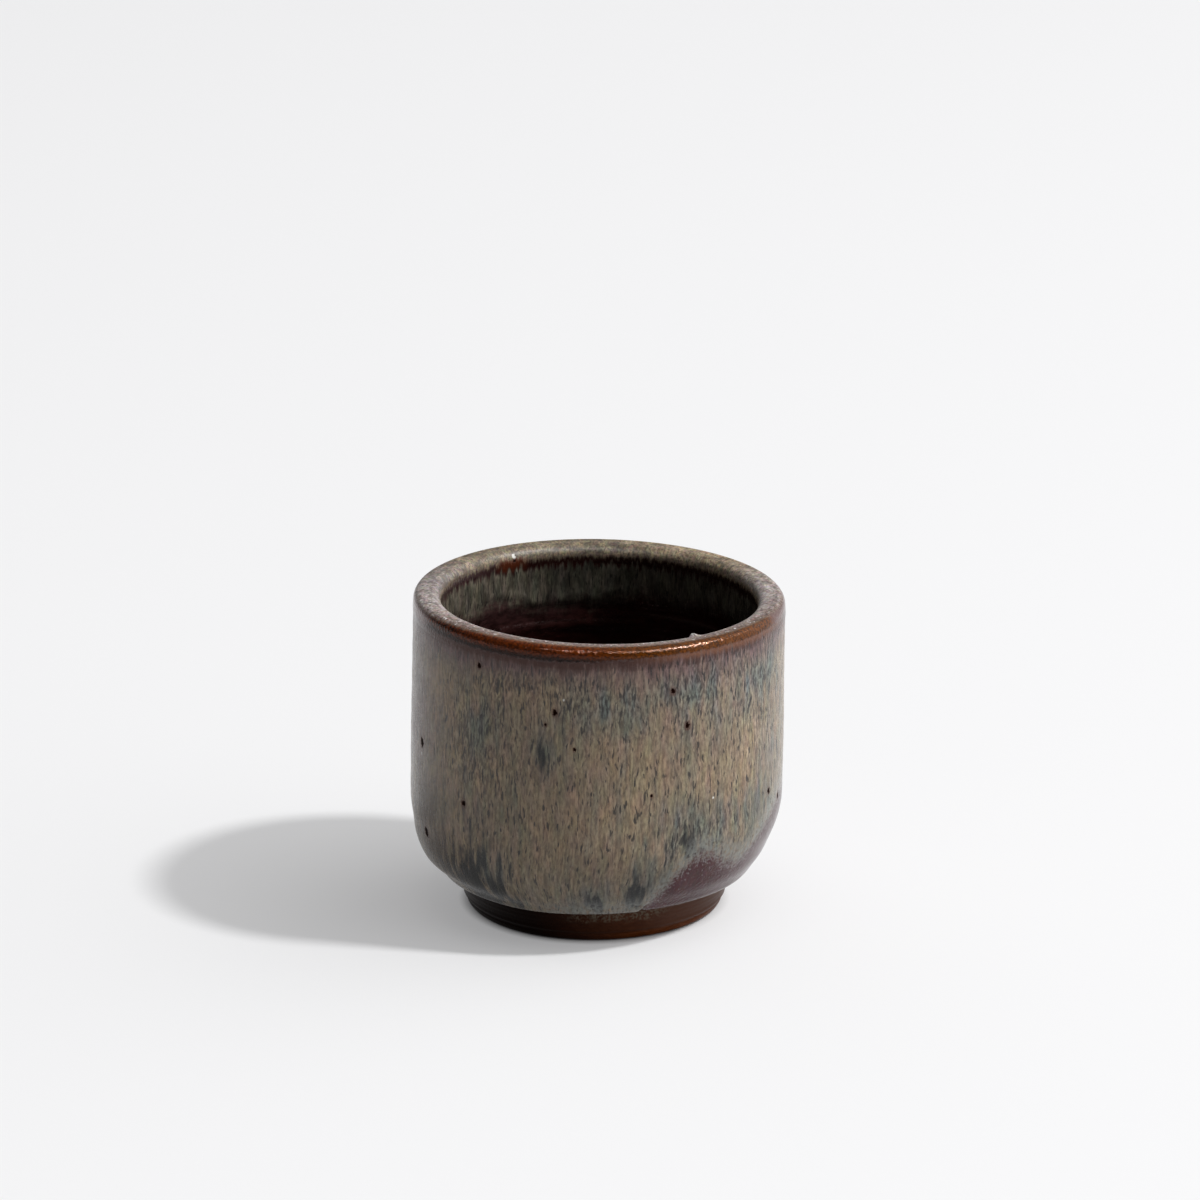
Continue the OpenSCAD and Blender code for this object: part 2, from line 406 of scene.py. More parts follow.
def over_outside(from_rim, to_edge):
    """Thin under the rim, and at its lower edge a roll at the lip or a soft run above it."""
    run = COATS - EDGE_THINNING * smooth(6, 0, to_edge)
    roll = COATS + RUN_ROLL * hump(to_edge, 1.2, 1.2) - EDGE_THINNING
    roll = EDGE_THINNING + roll * rolled(to_edge, 1.1)
    full = run + (roll - run) * AT_LIP
    thin = BASE_GLAZE + FEATHER
    return thin + (full - thin) * smooth(0, 1.5, from_rim)


def under_over_outside(from_rim, to_edge):
    """Sunk into the iron glaze, and down to the clay at the lip."""
    at_lip = (BASE_GLAZE + SINK) * smooth(1.2, 0, to_edge) * AT_LIP
    return BASE_GLAZE - SINK - at_lip


def over_rim(from_inside, to_outside):
    """Thin at both edges of the crown, with a small nub on it."""
    full = OVER_GLAZE - FEATHER - EDGE_THINNING * smooth(2.4, 0, from_inside)
    nub = NUB_HEIGHT * hump(np.degrees(TURN), NUB_TURN, 1.6) * hump(from_inside, 2.0, 0.9)
    return BASE_GLAZE + FEATHER + (full + nub) * smooth(0, 0.9, to_outside)


def over_inside(from_edge, to_rim):
    """Running out below, a little thinner under the rim."""
    full = OVER_GLAZE - FEATHER - EDGE_THINNING * smooth(2, 0, to_rim)
    return BASE_GLAZE + FEATHER + full * smooth(0, 2.6, from_edge)


def iron_inside(from_floor, to_crown):
    """Plain, with a shoulder between the crown and the inside band."""
    return BASE_GLAZE + LINER_SHOULDER * smooth(2, 3, to_crown) * smooth(8.5, 6, to_crown)


def wash(from_top, to_edge):
    """Plain, with a rolled lower edge."""
    return FEATHER + (FOOT_WASH - FEATHER) * rolled(to_edge, 0.3)


body = throw(
    "thrown_body_clay",
    [Face(SKIN, FLOOR_CENTRE, FOOT_JOINT, 0, 150, crowd=0), Face(BASE, BASE_START, FOOT_TOP, 0, 40, crowd=0)],
    "thrown_body", closed=False,
)
ring = throw(
    "foot_ring_clay",
    [Face(FOOT, RING_START, RING_END, 0, 90, crowd=0)],
    "foot_ring",
)
foot_wash = throw(
    "foot_iron_wash",
    coat(FOOT, WASH_TOP, WASH_EDGE, wash, 60, 12),
    "foot_wash_coat",
)
outer_iron = throw(
    "outer_iron_glaze",
    coat(SKIN, 0, IRON_EDGE, iron_outside, 130, 24),
    "outer_base_glaze",
)
liner = throw(
    "liner_iron_glaze",
    coat(SKIN, FLOOR_CENTRE, 0, iron_inside, 150, 30, crowd=0.3),
    "liner_glaze", closed=False,
)
outer_pale = throw(
    "outer_overglaze_coat",
    coat(SKIN, WALL_EDGE, RUN_EDGE, over_outside, 130, 24, under=under_over_outside),
    "outer_overglaze",
)
rim_pale = throw(
    "rim_overglaze_coat",
    coat(SKIN, CAP_INNER_EDGE, CAP_OUTER_EDGE, over_rim, 36, 12, under=BASE_GLAZE - SINK),
    "rim_overglaze",
)
inner_pale = throw(
    "inner_overglaze_coat",
    coat(SKIN, BAND_EDGE, BAND_TOP, over_inside, 44, 10, under=BASE_GLAZE - SINK),
    "inner_overglaze",
)


def paint(red, green, blue):
    """A colour as it reads on a screen, as linear light."""
    share = np.array([red, green, blue]) / 255
    linear = np.where(share > 0.04045, ((share + 0.055) / 1.055) ** 2.4, share / 12.92)
    return (*(float(c) for c in linear), 1.0)


# Colours of the iron glaze
PLUM_DEEP = paint(56, 28, 32)
PLUM_PALE = paint(92, 60, 63)
CRYSTAL = paint(138, 130, 132)
LINER_BROWN = paint(36, 12, 9)
LINER_LIT = paint(66, 44, 44)
LINER_DEEP = paint(18, 7, 5)
AMBER_UPPER = paint(110, 68, 36)
AMBER_MIDDLE = paint(92, 38, 5)
AMBER_LOWER = paint(32, 8, 0)
GOLD_UPPER = paint(82, 45, 6)
GOLD_MIDDLE = paint(88, 45, 0)
GOLD_LOWER = paint(58, 27, 0)
AMBER_PIT = paint(24, 9, 4)
BARE_EDGE = paint(112, 88, 85)
DULL_EDGE = paint(68, 46, 41)
BLUSH = paint(120, 82, 65)
BREAK_DARK = paint(40, 18, 16)
BREAK_LIT = paint(64, 42, 44)
RED_BREAK = paint(92, 42, 23)

# Colours of the overglaze
SAGE = paint(137, 122, 103)
TAN = paint(156, 134, 109)
SLATE = paint(97, 102, 97)
MAUVE = paint(110, 87, 84)
# Near black where iron strikes through the overglaze; at the lower left it is partly painted shade
STRUCK_THROUGH_AND_SHADE = paint(20, 21, 23)
DASH = paint(44, 41, 41)
MOSAIC_DARK = (0.5, 0.47, 0.48, 1.0)
MOSAIC_PALE = (1.4, 1.43, 1.4, 1.0)
# Painted shade, warm brown, on the lower left of the wall
WARM_PAINTED_SHADE = paint(66, 48, 28)
# Near black at the lower left of the wall: partly the glaze's own dark patch, partly painted shade
DARK_PATCH_AND_SHADE = paint(12, 11, 11)
GREY_TINT = (0.96, 1.03, 1.14, 1.0)
BAND_SHADE = paint(23, 26, 23)
FRINGE_PALE = paint(142, 145, 140)
# A painted highlight along the glossy bead just above the lip
LIP_PAINTED_HIGHLIGHT = paint(166, 160, 150)

# Colours of the crown of the rim
CROWN_DEEP = paint(124, 112, 108)
CROWN_PALE = paint(176, 166, 162)
OLIVE_DEEP = paint(98, 84, 68)
OLIVE_PALE = paint(164, 147, 119)
CROWN_BROWN = paint(104, 76, 63)
CROWN_SPECK = paint(66, 46, 38)
CROWN_FROST = paint(208, 202, 200)

# Colours of specks and pinholes
BLED = paint(52, 44, 40)
HALO = paint(88, 50, 36)
IRON_BLACK = paint(26, 8, 4)
# White painted as the highlight on a pinhole
PAINTED_GLINT = paint(226, 224, 218)

# Colours of the foot and the clay
WASH_DEEP = paint(54, 27, 16)
WASH_PALE = paint(90, 53, 35)
# Painted shade on the left of the foot
WASH_PAINTED_SHADE = paint(21, 8, 4)
WASH_PLUM = paint(92, 64, 52)
WASH_FROST = paint(116, 107, 92)
WASH_AMBER_DEEP = paint(48, 20, 6)
WASH_AMBER_PALE = paint(122, 61, 17)
CLAY_DEEP = paint(112, 92, 76)
CLAY_PALE = paint(142, 120, 100)
GROG_DARK = paint(70, 50, 40)
GROG_PALE = paint(176, 158, 136)
WHITE = paint(255, 255, 255)

# Sides of the cup: the turn of their middle, half their width and the fade beyond it, in degrees
RIGHT_FRONT = (40.0, 60.0, 30.0)
AMBER_FRONT = (1.0, 64.0, 10.0)
AMBER_BACK = (180.0, 50.0, 25.0)
GOLDEN_SIDE = (40.0, 20.0, 32.0)
PITTED_SIDE = (-62.0, 8.0, 12.0)
BLUSH_SIDE = (46.0, 16.0, 24.0)
FADED_BREAK_SIDE = (-92.0, 24.0, 28.0)
LIT_BREAK_SIDE = (-95.0, 25.0, 35.0)
RED_BREAK_SIDE = (-145.5, 2.0, 7.0)
LIT_LINER_SIDE = (-118.0, 34.0, 44.0)
LIT_BAND_SIDE = (-105.0, 28.0, 42.0)
LOWER_LEFT = (-70.0, 40.0, 25.0)
CROWN_FRONT = (0.0, 80.0, 30.0)
CROWN_BACK = (180.0, 45.0, 40.0)
CROWN_BROWN_SIDE = (8.0, 50.0, 38.0)
# Painted shade darkens the crown on this side
CROWN_SHADE_SIDE = (-140.0, 30.0, 45.0)
# Painted shade darkens the foot on this side
FOOT_SHADE_SIDE = (-75.0, 45.0, 45.0)
FOOT_PLUM_SIDE = (62.0, 22.0, 26.0)
FOOT_FROST_SIDE = (11.0, 13.0, 13.0)
FOOT_AMBER_FRONT = (34.0, 16.0, 22.0)
FOOT_AMBER_BACK = (160.0, 30.0, 30.0)

# Flows from the crown of the rim, outwards and down, at which something starts and at which it is full
INSIDE_START = (-4.0, -6.0)
CROWN_START = (-5.4, -3.6)
WALL_START = (5.2, 8.0)
BAND_START = (-5.5, -7.1)
AMBER_START = (-0.5, 0.4)
AMBER_END = (5.2, 4.4)
AMBER_MIDDLE_START = (0.5, 1.9)
AMBER_LOWER_START = (3.0, 4.3)
DULL_START = (4.3, 5.1)
DULL_END = (16.0, 9.0)
BLUSH_END = (6.6, 4.8)
BREAK_START = (-3.6, -4.8)
BREAK_END = (-8.6, -6.6)
RED_START = (-3.4, -4.3)
RED_END = (-6.5, -5.2)
LIT_LINER_END = (-24.0, -11.0)
MAUVE_START = (2.5, 4.5)
MAUVE_END = (13.0, 4.5)
FRINGE_START = (5.0, 12.0)
OLIVE_START = (-2.5, -4.5)
BROWN_START = (-2.6, 1.1)
FROST_START = (-3.5, -1.0)
# Where the painted highlight above the lip starts and ends
LIP_HIGHLIGHT_START = (LIP_LINE - 1.6, LIP_LINE - 0.8)
LIP_HIGHLIGHT_END = (LIP_LINE, LIP_LINE - 0.5)

# Gaps to the overglaze's lower edge, in the same way
RUN_START = (-2.2, 2.6)
FRINGE_END = (7.0, 1.5)

MM_PER_DEGREE = math.radians(RIM_RADIUS)


class Board:
    """Places nodes on one node tree and links them."""

    def __init__(self, tree):
        self.tree = tree

    def feed(self, socket, value):
        """Links a socket to another one, or sets its value."""
        if isinstance(value, bpy.types.NodeSocket):
            self.tree.links.new(value, socket)
        else:
            socket.default_value = value

    def node(self, kind, inputs=None, **settings):
        """A new node with its settings and inputs."""
        made = self.tree.nodes.new(kind)
        for name, value in settings.items():
            setattr(made, name, value)
        for name, value in (inputs or {}).items():
            self.feed(made.inputs[name], value)
        return made

    def use(self, group, **inputs):
        """The outputs of an effect. An underscore in an input's name stands for a space."""
        made = self.node("ShaderNodeGroup", node_tree=group)
        for name, value in inputs.items():
            self.feed(made.inputs[name.replace("_", " ")], value)
        return made.outputs

    def math(self, operation, *values, clamp=False):
        """The result of an operation on numbers."""
        made = self.node("ShaderNodeMath", operation=operation, use_clamp=clamp)
        for socket, value in zip(made.inputs, values):
            self.feed(socket, value)
        return made.outputs[0]

    def vector(self, operation, *values):
        """The result of an operation on triples."""
        made = self.node("ShaderNodeVectorMath", operation=operation)
        for socket, value in zip(made.inputs, values):
            self.feed(socket, value)
        return made.outputs[0]

    def ease(self, value, low, high, from_value=0.0, to_value=1.0):
        """Eases from one value at low to another at high."""
        made = self.node(
            "ShaderNodeMapRange",
            {"Value": value, "From Min": low, "From Max": high, "To Min": from_value, "To Max": to_value},
            interpolation_type="SMOOTHSTEP",
        )
        return made.outputs["Result"]

    def fade_to(self, mask, level):
        """1 off a mask and that level on it."""
        return self.ease(mask, 0.0, 1.0, 1.0, level)

    def both(self, first, *others):
        """Product of masks."""
        for other in others:
            first = self.math("MULTIPLY", first, other)
        return first

    def beside(self, mask):
        """What a mask leaves free."""
        return self.math("SUBTRACT", 1.0, mask)

    def mix(self, share, first, second, blend="MIX"):
        """One colour turning into another by a share."""
        made = self.node("ShaderNodeMix", data_type="RGBA", blend_type=blend)
        for socket, value in zip((made.inputs[0], made.inputs[6], made.inputs[7]), (share, first, second)):
            self.feed(socket, value)
        return made.outputs[2]

    def lay(self, under, colour, *masks):
        """A colour laid over another where all the masks are."""
        return self.mix(self.both(*masks), under, colour)

    def tone(self, colour, tint):
        """A colour multiplied by a tint or a number."""
        return self.mix(1.0, colour, tint, blend="MULTIPLY")

    def clouds(self, place, size, detail=2.0, roughness=0.5):
        """Outputs of a noise of about that size in millimetres. Size may differ along the place's axes."""
        stretched = self.vector("DIVIDE", place, (size,) * 3 if isinstance(size, float) else size)
        made = self.node(
            "ShaderNodeTexNoise",
            {"Vector": stretched, "Scale": 1.0, "Detail": detail, "Roughness": roughness},
        )
        return made.outputs

    def noise(self, place, size, detail=2.0, roughness=0.5):
        """A noise about 0.5."""
        return self.clouds(place, size, detail, roughness)["Fac"]

    def push(self, place, size, detail=2.0):
        """A noise of three values about 0."""
        return self.vector("SUBTRACT", self.clouds(place, size, detail)["Color"], (0.5, 0.5, 0.5))

    def stain(self, place, size, reach):
        """A tint about 1 that differs in hue from spot to spot, in spots of about that size."""
        return self.vector("MULTIPLY_ADD", self.push(place, size, detail=1.5), reach, (1.0, 1.0, 1.0))

    def bend(self, place, size, reach):
        """Place pushed to and fro by about a third of reach, in bends of about that size."""
        return self.vector("ADD", place, self.vector("MULTIPLY", self.push(place, size), reach))

    def shift(self, value, noise, reach):
        """Value made ragged by a noise."""
        return self.math("MULTIPLY_ADD", self.math("SUBTRACT", noise, 0.5), reach, value)

    def parts(self, place):
        """Turn in degrees from the front, and flow, of a place on the cup."""
        x, y, flow = self.node("ShaderNodeSeparateXYZ", {"Vector": place}).outputs
        turn = self.math("ARCTAN2", x, self.math("MULTIPLY", y, -1.0))
        return self.math("DEGREES", turn), flow

    def away(self, turn, centre):
        """Degrees from a centre to a turn, the short way round."""
        return self.math("WRAP", self.math("SUBTRACT", turn, centre), 180.0, -180.0)

    def about(self, turn, centre, half, fade):
        """1 round the cup within half of a turn, easing to 0 over fade, in degrees."""
        return self.ease(self.math("ABSOLUTE", self.away(turn, centre)), half + fade, half)

    def offset(self, place, turn, flow):
        """How far a place lies across from a spot on the cup and below it, in millimetres."""
        here, down = self.parts(place)
        across = self.math("MULTIPLY", self.away(here, turn), MM_PER_DEGREE)
        return across, self.math("SUBTRACT", down, flow)

    def length(self, across, down):
        """Length of a step across and down."""
        squares = [self.math("MULTIPLY", step, step) for step in (across, down)]
        return self.math("SQRT", self.math("ADD", *squares))

    def emboss(self, shader, height, depth):
        """Gives a shader a relief of that depth in millimetres."""
        bump = self.node("ShaderNodeBump", {"Height": height, "Distance": depth * MM, "Strength": 1.0})
        self.feed(shader.inputs["Normal"], bump.outputs["Normal"])


NUMBER, COLOUR, VECTOR = "NodeSocketFloat", "NodeSocketColor", "NodeSocketVector"


def effect(name, inputs, outputs):
    """A new shader node group with named sockets: its board, inputs and outputs."""
    tree = bpy.data.node_groups.new(name, "ShaderNodeTree")
    for title, value in inputs.items():
        kind = VECTOR if value is None else NUMBER
        socket = tree.interface.new_socket(title, in_out="INPUT", socket_type=kind)
        if value is not None:
            socket.default_value = value
    for title, kind in outputs.items():
        tree.interface.new_socket(title, in_out="OUTPUT", socket_type=kind)
    given = tree.nodes.new("NodeGroupInput").outputs
    result = tree.nodes.new("NodeGroupOutput").inputs
    return Board(tree), given, result


# Effects that the glazes share


def make_flecks():
    """Short dashes that have run down the surface."""
    board, given, result = effect(
        "glaze_flecks",
        {"Place": None, "Width": 0.3, "Length": 2.0, "Share": 0.2, "Softness": 0.1},
        {"Mask": NUMBER},
    )
    width, length = given["Width"], given["Length"]
    size = board.node("ShaderNodeCombineXYZ", {"X": width, "Y": width, "Z": length}).outputs[0]
    start = board.math("MULTIPLY_ADD", given["Share"], -0.44, 0.72)
    stop = board.math("ADD", start, given["Softness"])
    board.feed(result["Mask"], board.ease(board.noise(given["Place"], size, detail=1.5), start, stop))
    return board.tree


def make_zone():
    """One soft patch with a ragged edge, placed by its turn and its flow from the crown of the rim."""
    board, given, result = effect(
        "glaze_zone",
        {"Place": None, "Turn": 0.0, "Flow": 30.0, "Half Width": 8.0, "Half Height": 8.0, "Ragged": 0.5},
        {"Mask": NUMBER},
    )
    across, below = board.offset(given["Place"], given["Turn"], given["Flow"])
    across = board.math("DIVIDE", across, given["Half Width"])
    down = board.math("DIVIDE", below, given["Half Height"])
    ragged = board.math("SUBTRACT", board.noise(given["Place"], (1.8, 1.8, 7.0), detail=3.0), 0.5)
    raggedness = board.math("MULTIPLY", given["Ragged"], 4.0)
    reach = board.math("MULTIPLY_ADD", ragged, raggedness, board.length(across, down))
    board.feed(result["Mask"], board.ease(reach, 1.2, 0.0))
    return board.tree


def make_speck():
    """One iron speck that has bled a little way down."""
    board, given, result = effect(
        "iron_speck",
        {"Place": None, "Turn": 0.0, "Flow": 30.0, "Radius": 0.4, "Tail": 1.0},
        {"Head": NUMBER, "Halo": NUMBER, "Bleed": NUMBER},
    )
    across, below = board.offset(given["Place"], given["Turn"], given["Flow"])
    across = board.math("DIVIDE", across, given["Radius"])
    down = board.math("DIVIDE", below, board.math("MULTIPLY", given["Radius"], 1.3))
    ragged = board.math("SUBTRACT", board.noise(given["Place"], 0.5), 0.5)
    reach = board.math("MULTIPLY_ADD", ragged, 1.5, board.length(across, down))
    board.feed(result["Head"], board.ease(reach, 1.0, 0.5))
    board.feed(result["Halo"], board.ease(reach, 1.9, 0.8))
    narrow = board.ease(board.math("ABSOLUTE", board.math("MULTIPLY_ADD", ragged, 1.2, across)), 1.1, 0.2)
    fading = board.both(board.ease(below, given["Tail"], 0.0), board.ease(below, -0.4, 0.2))
    board.feed(result["Bleed"], board.both(narrow, fading))
    return board.tree


FLECKS, ZONE, SPECK = make_flecks(), make_zone(), make_speck()


def flecks(board, place, width, length, share, softness=0.1):
    """Mask of dashes of that width and length, and of about that share."""
    made = board.use(FLECKS, Place=place, Width=width, Length=length, Share=share, Softness=softness)
    return made["Mask"]


def make_iron_glaze():
    """The dark iron glaze: plum outside, brown-black inside, amber where it breaks thin over an edge."""
    board, given, result = effect(
        "iron_glaze",
        {"Place": None, "Thin": 0.0, "Golden": 0.0, "Inside": 0.0, "Crystals": 0.05, "Pits": 0.1},
        {"Colour": COLOUR, "Roughness": NUMBER, "Height": NUMBER},
    )
    place, golden = given["Place"], given["Golden"]
    turn, flow = board.parts(place)
    cloud = board.noise(place, (3.0, 3.0, 5.0), detail=3.0)

    plum = board.mix(cloud, PLUM_DEEP, PLUM_PALE)
    plum = board.tone(plum, board.stain(place, (0.8, 0.8, 1.6), (0.6, 0.5, 0.6)))
    crystals = flecks(board, place, 0.45, 0.5, given["Crystals"], softness=0.15)
    plum = board.lay(plum, CRYSTAL, crystals, 0.65)

    liner = board.lay(
        LINER_BROWN, LINER_LIT, board.ease(flow, *LIT_LINER_END), board.about(turn, *LIT_LINER_SIDE)
    )
    liner = board.lay(liner, LINER_DEEP, board.ease(cloud, 0.5, 0.75, 0.0, 0.6))
    liner = board.tone(liner, board.ease(board.noise(place, (3.0, 3.0, 0.9), 3.0), 0.35, 0.65, 0.7, 1.45))

    upper = board.mix(golden, AMBER_UPPER, GOLD_UPPER)
    middle = board.mix(golden, AMBER_MIDDLE, GOLD_MIDDLE)
    lower = board.mix(golden, AMBER_LOWER, GOLD_LOWER)
    amber = board.mix(board.ease(flow, *AMBER_MIDDLE_START), upper, middle)
    amber = board.mix(board.ease(flow, *AMBER_LOWER_START), amber, lower)
    amber = board.tone(amber, board.ease(board.noise(place, (0.5, 0.5, 0.45), 3.0), 0.3, 0.7, 0.4, 1.6))
    amber = board.lay(amber, AMBER_PIT, flecks(board, place, 0.6, 0.6, given["Pits"]), 0.75)

    thick = board.mix(given["Inside"], plum, liner)
    board.feed(result["Colour"], board.mix(given["Thin"], thick, amber))
    still = board.ease(board.noise(place, 2.0), 0.3, 0.7, 0.08, 0.16)
    beaded = board.ease(board.noise(place, (1.1, 1.1, 0.7)), 0.42, 0.58, 0.05, 0.2)
    board.feed(result["Roughness"], board.mix(given["Thin"], still, beaded))
    board.feed(result["Height"], board.noise(place, 0.55, detail=2.5))
    return board.tree


def make_overglaze():
    """The pale overglaze: sage, tan and slate in short runs, flecked where iron strikes through."""
    board, given, result = effect(
        "overglaze",
        {"Place": None, "Warm": 0.5, "Cool": 0.2, "Mauve": 0.0, "Dense": 0.1, "Lively": 0.4, "Struck": 0.0},
        {"Colour": COLOUR, "Height": NUMBER},
    )
    place = board.bend(given["Place"], (2.5, 2.5, 6.0), (1.0, 1.0, 2.0))
    colour = board.mix(given["Warm"], SAGE, TAN)
    colour = board.lay(colour, SLATE, given["Cool"])
    colour = board.lay(colour, MAUVE, given["Mauve"])
    # Darker where iron strikes through; at the lower left this is partly painted shade
    colour = board.lay(colour, STRUCK_THROUGH_AND_SHADE, given["Struck"])

    colour = board.tone(colour, board.stain(place, (1.8, 1.8, 5.5), (0.3, 0.26, 0.28)))
    grain = board.ease(board.noise(place, (0.42, 0.42, 1.35), detail=2.0), 0.34, 0.66)
    mosaic = board.mix(grain, MOSAIC_DARK, MOSAIC_PALE)
    colour = board.tone(colour, board.mix(given["Lively"], WHITE, mosaic))
    hatch = board.noise(place, (0.5, 0.5, 4.5), detail=2.0)
    colour = board.tone(colour, board.ease(hatch, 0.3, 0.7, 0.76, 1.24))

    dash = flecks(board, place, 0.48, 2.5, given["Dense"])
    board.feed(result["Colour"], board.lay(colour, DASH, dash, 0.86))
    board.feed(result["Height"], board.math("MULTIPLY_ADD", dash, -0.5, hatch))
    return board.tree


def make_rim_frost():
    """The overglaze on the crown: frosted, olive where it lies thinner, brown towards the amber."""
    board, given, result = effect(
        "rim_frost",
        {"Place": None, "Olive": 0.0, "Brown": 0.0, "Frost": 0.0},
        {"Colour": COLOUR, "Height": NUMBER},
    )
    place, brown = given["Place"], given["Brown"]
    cloud = board.ease(board.noise(place, (2.6, 2.6, 1.6), detail=3.0), 0.25, 0.75)
    colour = board.mix(cloud, CROWN_DEEP, CROWN_PALE)
    colour = board.lay(colour, board.mix(cloud, OLIVE_DEEP, OLIVE_PALE), given["Olive"])
    colour = board.lay(colour, CROWN_BROWN, brown, 0.8)
    colour = board.tone(colour, board.stain(place, (0.9, 0.9, 0.9), (0.6, 0.55, 0.6)))
    colour = board.tone(colour, board.ease(board.noise(place, (0.45, 0.45, 0.6), 3.0), 0.3, 0.7, 0.55, 1.45))
    specks = flecks(board, place, 0.5, 0.5, board.math("MULTIPLY_ADD", brown, 0.3, 0.34))
    colour = board.lay(colour, CROWN_SPECK, specks, 0.65)
    frost = flecks(board, place, 0.62, 0.7, board.math("MULTIPLY", given["Frost"], 0.25))
    board.feed(result["Colour"], board.lay(colour, CROWN_FROST, frost, given["Frost"]))
    board.feed(result["Height"], cloud)
    return board.tree


IRON_GLAZE, OVERGLAZE, RIM_FROST = make_iron_glaze(), make_overglaze(), make_rim_frost()

# Marks of the firing, with painted highlights and painted shade among them: turn and height of each, with its
# radius and tail, or its half width and half height


def on_wall(marks):
    """Marks that are placed by their height on the outside wall, placed by their flow."""
    return [(turn, float(SKIN.flow_at(height)), *size) for turn, height, *size in marks]


SPECKS = on_wall([
    (-39, 59.5, 0.55, 0.8), (-13.2, 52.25, 0.62, 0.8), (22.9, 56.6, 0.62, 1.2), (28, 48.8, 0.6, 4.5),
    (-44.5, 29.75, 0.65, 5.0), (-68.5, 38.1, 1.0, 2.5), (-66, 19.5, 1.1, 3.0), (66, 28.5, 0.65, 1.2),
    (75.7, 25.4, 0.65, 1.5), (-7, 44.75, 0.35, 0.5), (16.5, 34.75, 0.32, 2.2), (-16, 49.6, 0.35, 2.0),
    (110, 50, 0.65, 2.0), (148, 37, 0.6, 3.0), (-118, 44, 0.65, 3.0), (-155, 53, 0.6, 1.5),
])
# Pinholes with a white dot painted as their highlight
PAINTED_GLINTS = on_wall([(-10.5, 55.1, 0.28, 0.1), (37.7, 32.25, 0.28, 0.1), (-69.0, 35.6, 0.4, 0.1)])
RIM_SPECK = (-147, -4.2, 0.4, 0.3)
# A painted highlight on a pinhole at the back left of the rim
PAINTED_RIM_GLINT = (-147, -3.2, 0.55, 0.1)
WARM_ZONES = on_wall([
    (10, 37, 15, 11), (54, 44, 5, 5), (-9, 27, 14, 8), (-50, 36, 13, 12), (-22, 56, 13, 6), (-58, 50, 9, 10),
    (118, 40, 15, 11), (-130, 36, 16, 12),
])
COOL_ZONES = on_wall([
    (-40, 46, 3.4, 8), (-16, 44, 3, 6), (33, 27, 11, 8), (58, 27, 8, 8), (0, 12, 8, 6), (18, 16, 6, 9),
    (-35, 15, 6, 7), (62, 56, 10, 7), (28, 57, 13, 7), (3, 53, 8, 7),
    (95, 33, 8, 9), (150, 32, 9, 10), (-100, 22, 10, 9), (-165, 42, 8, 10),
])
MAUVE_ZONES = on_wall([(-74, 44, 12, 20), (-95, 40, 8, 14), (-42, 62, 20, 3)])
DARK_ZONES = on_wall([
    # The first zone, at the lower left, is partly painted shade
    (-42, 11, 10, 12), (-17, 42.5, 1.3, 3.0), (1, 10.5, 3.0, 3.0), (15, 13, 2.4, 4.5),
    (30, 23.5, 2.0, 3.4), (-150, 24, 7, 7), (130, 30, 2.5, 7),
])
# Painted shade on the lower left of the wall, warm brown
WARM_SHADE_ZONES = on_wall([(-66, 25, 12, 9), (-63, 16, 13, 9)])
# Partly the glaze's dark patch and partly painted shade, at the lower left
DARK_PATCH_AND_SHADE_ZONES = on_wall([(-43, 11, 9, 10)])
GREY_ZONES = on_wall([(46, 54, 18, 12), (66, 38, 9, 13)])
LIVELY_ZONES = on_wall([
    (34, 56, 18, 9), (3, 54, 10, 8), (60, 52, 10, 14), (36, 24, 12, 7),
    (-20, 58, 16, 5), (-40, 44, 13, 17), (140, 56, 20, 9),
])


